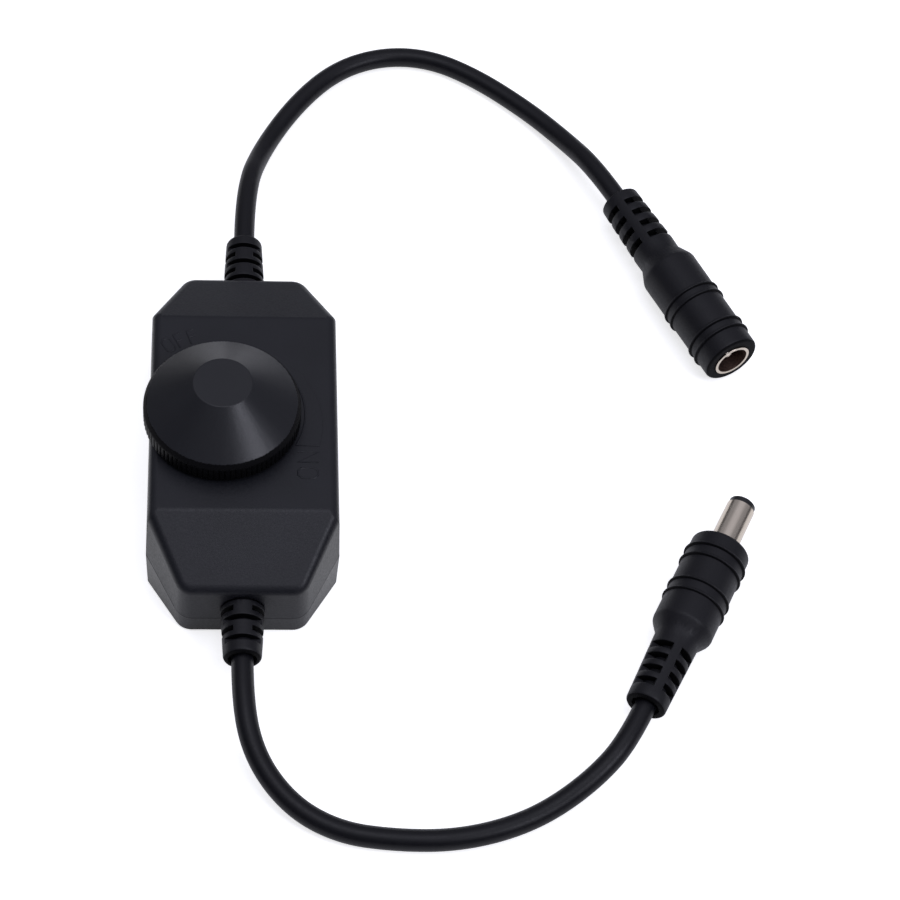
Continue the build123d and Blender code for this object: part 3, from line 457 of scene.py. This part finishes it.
def raised_lines(name, lines, proud=0.1):
    """Low rounded ridges that stand proud of the roof along flat lines, all in millimetres."""
    centre_z = roof_z + (proud - MARK_RADIUS) * MM
    data = bpy.data.curves.new(name, "CURVE")
    data.dimensions = "3D"
    data.bevel_depth = MARK_RADIUS * MM
    data.bevel_resolution = 3
    data.use_fill_caps = True
    for points, closed in lines:
        spline = data.splines.new("POLY")
        spline.points.add(len(points) - 1)
        for point, (x, y) in zip(spline.points, points):
            point.co = (x * MM, y * MM, centre_z, 1.0)
        spline.use_cyclic_u = closed
    piece = bpy.data.objects.new(name, data)
    bpy.context.scene.collection.objects.link(piece)
    data.materials.append(case_plastic)
    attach(piece, "housing")


def placed_letter(letter, corner, up, width, height):
    """A letter's lines with its lower left corner and its upward direction on the roof."""
    right = Vector((up.y, -up.x))
    return [
        ([tuple(corner + right * u + up * v) for u, v in points], closed)
        for points, closed in letter_strokes(letter, width, height)
    ]


def along(angle):
    """The flat direction at an angle in degrees."""
    return Vector((math.cos(math.radians(angle)), math.sin(math.radians(angle))))


off_lines = []
for letter, angle, up_angle, width in OFF_LETTERS:
    corner = KNOB_AXIS + OFF_RADIUS * along(angle)
    off_lines += placed_letter(letter, corner, along(up_angle), width, OFF_HEIGHT)
raised_lines("off_mark", off_lines)
on_lines = []
for letter, corner, height in ON_LETTERS:
    on_lines += placed_letter(letter, corner, ON_UP, ON_WIDTH, height)
raised_lines("on_mark", on_lines)

wedge_inner = []
wedge_outer = []
for step in range(WEDGE_STEPS + 1):
    inner = along(WEDGE_INNER_START + WEDGE_INNER_TURN * step)
    outer = along(WEDGE_OUTER_START + WEDGE_OUTER_TURN * step)
    radius = WEDGE_RADIUS + WEDGE_WIDTH * (WEDGE_STEPS - step) / WEDGE_STEPS
    wedge_inner.append(tuple(WEDGE_CENTRE + WEDGE_RADIUS * inner))
    wedge_outer.append(tuple(WEDGE_CENTRE + radius * outer))
raised_lines("wedge_mark", [([wedge_outer[0], *wedge_inner], False)])
raised_lines("wedge_outer_mark", [(wedge_outer, False)], 0.03)


def cord_curve(name, route, material):
    """A smooth round cord along control points in millimetres."""
    data = bpy.data.curves.new(name, "CURVE")
    data.dimensions = "3D"
    spline = data.splines.new("NURBS")
    spline.points.add(len(route) - 1)
    for point, place in zip(spline.points, route):
        point.co = (*(Vector(place) * MM), 1.0)
    spline.order_u = 3
    spline.use_endpoint_u = True
    spline.resolution_u = 24
    data.bevel_depth = CORD_RADIUS
    data.bevel_resolution = 8
    data.use_fill_caps = True
    data.materials.append(material)
    piece = bpy.data.objects.new(name, data)
    bpy.context.scene.collection.objects.link(piece)
    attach(piece, "housing")
    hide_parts(name)
    return piece


# The cords' routes in millimetres, each from inside its grommet to inside its connector
input_route = [
    (0, 47.0, 8.0),
    (0, 62.2, 8.0),
    (4.0, 78.6, 2.05),
    (11.3, 91.2, 2.05),
    (19.5, 100.1, 2.05),
    (29.2, 104.2, 2.05),
    (39.2, 103.7, 2.05),
    (48.7, 98.6, 2.05),
    (58.8, 90.1, 2.05),
    (66.2, 81.2, 3.0),
    tuple(JACK_PLACE - 9.3 * JACK_AXIS),
    tuple(JACK_PLACE + 1.2 * JACK_AXIS),
]
output_route = [
    (0, -44.9, 8.0),
    (0, -55.0, 8.0),
    (2.5, -64.6, 5.3),
    (8.7, -72.4, 2.9),
    (17.0, -77.0, 2.05),
    (26.6, -78.5, 2.05),
    (36.6, -78.6, 2.05),
    (45.9, -76.6, 2.05),
    (54.1, -73.0, 2.3),
    (62.3, -67.5, 4.3),
    tuple(PLUG_PLACE - 7.7 * PLUG_AXIS),
    tuple(PLUG_PLACE + 1.2 * PLUG_AXIS),
]
input_cord = cord_curve("input_cord", input_route, cord_vinyl)
output_cord = cord_curve("output_cord", output_route, cord_vinyl)

# Camera
camera_data = bpy.data.cameras.new("camera")
camera_data.sensor_width = SENSOR_MM
camera_data.lens = FOCAL_PX / PICTURE_PX * SENSOR_MM
camera_data.clip_start = 0.01
camera_data.clip_end = 20.0
camera = bpy.data.objects.new("camera", camera_data)
turn = (
    Matrix.Rotation(CAMERA_HEADING, 4, "Z")
    @ Matrix.Rotation(CAMERA_TILT, 4, "X")
    @ Matrix.Rotation(CAMERA_ROLL, 4, "Z")
)
camera.matrix_world = Matrix.Translation(CAMERA_PLACE) @ turn
bpy.context.scene.collection.objects.link(camera)
bpy.context.scene.camera = camera

# Floor: pale and matt, white to the camera, with a faint shadow left on it
floor_mesh = bpy.data.meshes.new("floor")
shape = bmesh.new()
bmesh.ops.create_grid(shape, x_segments=1, y_segments=1, size=3.0)
shape.to_mesh(floor_mesh)
shape.free()
floor = bpy.data.objects.new("floor", floor_mesh)
bpy.context.scene.collection.objects.link(floor)
floor_material = bpy.data.materials.new("matt white board")
floor_material.use_nodes = True
tree = floor_material.node_tree
tree.nodes.clear()
rays = add_node(tree, "ShaderNodeLightPath")
seen = add_node(
    tree, "ShaderNodeMath", {"operation": "MULTIPLY", 1: 0.68}, {0: rays.outputs["Is Camera Ray"]}
)
place = add_node(tree, "ShaderNodeTexCoord").outputs["Object"]
axes = add_node(tree, "ShaderNodeSeparateXYZ", {}, {"Vector": place})
far = add_node(tree, "ShaderNodeVectorMath", {"operation": "LENGTH"}, {0: place})
across = add_node(tree, "ShaderNodeMath", {"operation": "ABSOLUTE"}, {0: axes.outputs["X"]})
along_case = add_node(tree, "ShaderNodeMath", {"operation": "ABSOLUTE"}, {0: axes.outputs["Y"]})
# Glossy pieces see the board's far left dimmer than it is
leftward = add_node(
    tree, "ShaderNodeMath", {"operation": "MULTIPLY_ADD", 1: 0.2},
    {0: axes.outputs["Y"], 2: axes.outputs["X"]},
)
far_left = add_node(
    tree, "ShaderNodeMapRange", {"From Min": -0.03, "From Max": 0.03, "To Min": 0.85, "To Max": 0.0},
    {"Value": leftward.outputs[0]},
)
behind = add_node(
    tree, "ShaderNodeMapRange", {"From Min": 0.05, "From Max": 0.1}, {"Value": axes.outputs["Y"]}
)
dim_place = add_node(
    tree, "ShaderNodeMath", {"operation": "MULTIPLY"},
    {0: far_left.outputs["Result"], 1: behind.outputs["Result"]},
)
dimming = add_node(
    tree, "ShaderNodeMath", {"operation": "MULTIPLY"},
    {0: dim_place.outputs[0], 1: rays.outputs["Is Glossy Ray"]},
)
board_tint = add_node(
    tree, "ShaderNodeMix", {"data_type": "RGBA", 6: colour("#f2f2f2"), 7: colour("#000000")},
    {0: dimming.outputs[0]},
)
board = add_node(tree, "ShaderNodeBsdfDiffuse", {}, {"Color": board_tint.outputs[2]})
# What else they see of it: dimmer in front and far off, brightest close beside the case
spread = add_node(
    tree, "ShaderNodeMapRange", {"From Min": 0.13, "From Max": 0.22, "To Min": 0.36, "To Max": 0.2},
    {"Value": far.outputs["Value"]},
)
in_front = add_node(
    tree, "ShaderNodeMapRange", {"From Min": -0.06, "From Max": -0.02, "To Min": 0.7, "To Max": 1.0},
    {"Value": axes.outputs["Y"]},
)
board_glow = add_node(
    tree, "ShaderNodeMath", {"operation": "MULTIPLY"},
    {0: spread.outputs["Result"], 1: in_front.outputs["Result"]},
)
beside = add_node(
    tree, "ShaderNodeMapRange", {"From Min": 0.012, "From Max": 0.024, "To Max": 0.45},
    {"Value": across.outputs[0]},
)
near_side = add_node(
    tree, "ShaderNodeMapRange", {"From Min": 0.045, "From Max": 0.06, "To Min": 1.0, "To Max": 0.0},
    {"Value": across.outputs[0]},
)
near_end = add_node(
    tree, "ShaderNodeMapRange", {"From Min": 0.04, "From Max": 0.055, "To Min": 1.0, "To Max": 0.0},
    {"Value": along_case.outputs[0]},
)
side_glow = add_node(
    tree, "ShaderNodeMath", {"operation": "MULTIPLY"},
    {0: near_side.outputs["Result"], 1: near_end.outputs["Result"]},
)
whole_glow = add_node(
    tree, "ShaderNodeMath", {"operation": "MULTIPLY_ADD"},
    {0: beside.outputs["Result"], 1: side_glow.outputs[0], 2: board_glow.outputs[0]},
)
strength = add_node(
    tree, "ShaderNodeMath", {"operation": "MULTIPLY_ADD"},
    {0: rays.outputs["Is Glossy Ray"], 1: whole_glow.outputs[0], 2: seen.outputs[0]},
)
glow = add_node(
    tree, "ShaderNodeEmission", {"Color": colour("#ffffff")}, {"Strength": strength.outputs[0]}
)
both = add_node(tree, "ShaderNodeAddShader", {}, {0: board.outputs[0], 1: glow.outputs[0]})
add_node(tree, "ShaderNodeOutputMaterial", {}, {"Surface": both.outputs[0]})
floor_mesh.materials.append(floor_material)

# World: a studio that is bright overhead, dim behind the object and nearly dark behind the camera
DAYLIGHT = "#f0f1ff"
SMOOTH = {"interpolation_type": "SMOOTHSTEP"}
world = bpy.data.worlds.new("studio")
bpy.context.scene.world = world
world.use_nodes = True
tree = world.node_tree
tree.nodes.clear()
direction = add_node(tree, "ShaderNodeTexCoord").outputs["Generated"]
axes = add_node(tree, "ShaderNodeSeparateXYZ", {}, {"Vector": direction})
low = add_node(
    tree, "ShaderNodeMapRange",
    {**SMOOTH, "From Min": -0.35, "From Max": 0.35, "To Min": 0.0, "To Max": 0.17},
    {"Value": axes.outputs["Y"]},
)
middle = add_node(
    tree, "ShaderNodeMapRange",
    {**SMOOTH, "From Min": -0.35, "From Max": 0.35, "To Min": 0.17, "To Max": 0.45},
    {"Value": axes.outputs["Y"]},
)
wall = add_node(
    tree, "ShaderNodeMapRange", {**SMOOTH, "From Min": 0.22, "From Max": 0.38},
    {"Value": axes.outputs["Z"], "To Min": low.outputs["Result"], "To Max": middle.outputs["Result"]},
)
left_side = add_node(
    tree, "ShaderNodeMapRange", {"From Min": -0.75, "From Max": -0.1, "To Min": 0.82, "To Max": 1.0},
    {"Value": axes.outputs["X"]},
)
dim_wall = add_node(
    tree, "ShaderNodeMath", {"operation": "MULTIPLY"},
    {0: wall.outputs["Result"], 1: left_side.outputs["Result"]},
)
top = add_node(
    tree, "ShaderNodeMapRange", {"From Min": -0.6, "From Max": -0.2, "To Min": 0.5, "To Max": 0.8},
    {"Value": axes.outputs["Y"]},
)
room = add_node(
    tree, "ShaderNodeMapRange", {**SMOOTH, "From Min": 0.67, "From Max": 0.83},
    {"Value": axes.outputs["Z"], "To Min": dim_wall.outputs[0], "To Max": top.outputs["Result"]},
)
rays = add_node(tree, "ShaderNodeLightPath")
white = add_node(
    tree, "ShaderNodeMix", {"data_type": "FLOAT", 3: 1.4},
    {0: rays.outputs["Is Camera Ray"], 2: room.outputs["Result"]},
)
backdrop = add_node(
    tree, "ShaderNodeBackground", {"Color": colour(DAYLIGHT)}, {"Strength": white.outputs[0]}
)
add_node(tree, "ShaderNodeOutputWorld", {}, {"Surface": backdrop.outputs[0]})


def softbox(name, place, size, power, aim=(0.03, 0.0, 0.0)):
    """A square area lamp that faces the object."""
    data = bpy.data.lights.new(name, "AREA")
    data.shape = "RECTANGLE"
    data.size, data.size_y = size
    data.energy = power
    data.color = colour(DAYLIGHT)[:3]
    lamp = bpy.data.objects.new(name, data)
    lamp.location = place
    lamp.rotation_euler = (Vector(aim) - Vector(place)).to_track_quat("-Z", "Y").to_euler()
    bpy.context.scene.collection.objects.link(lamp)


softbox("overhead", (0.0, 0.0, 1.1), (0.6, 0.6), 2.0)
softbox("front right", (0.63, -0.46, 0.78), (0.4, 0.4), 3.4)

bpy.context.scene.view_settings.view_transform = "Standard"
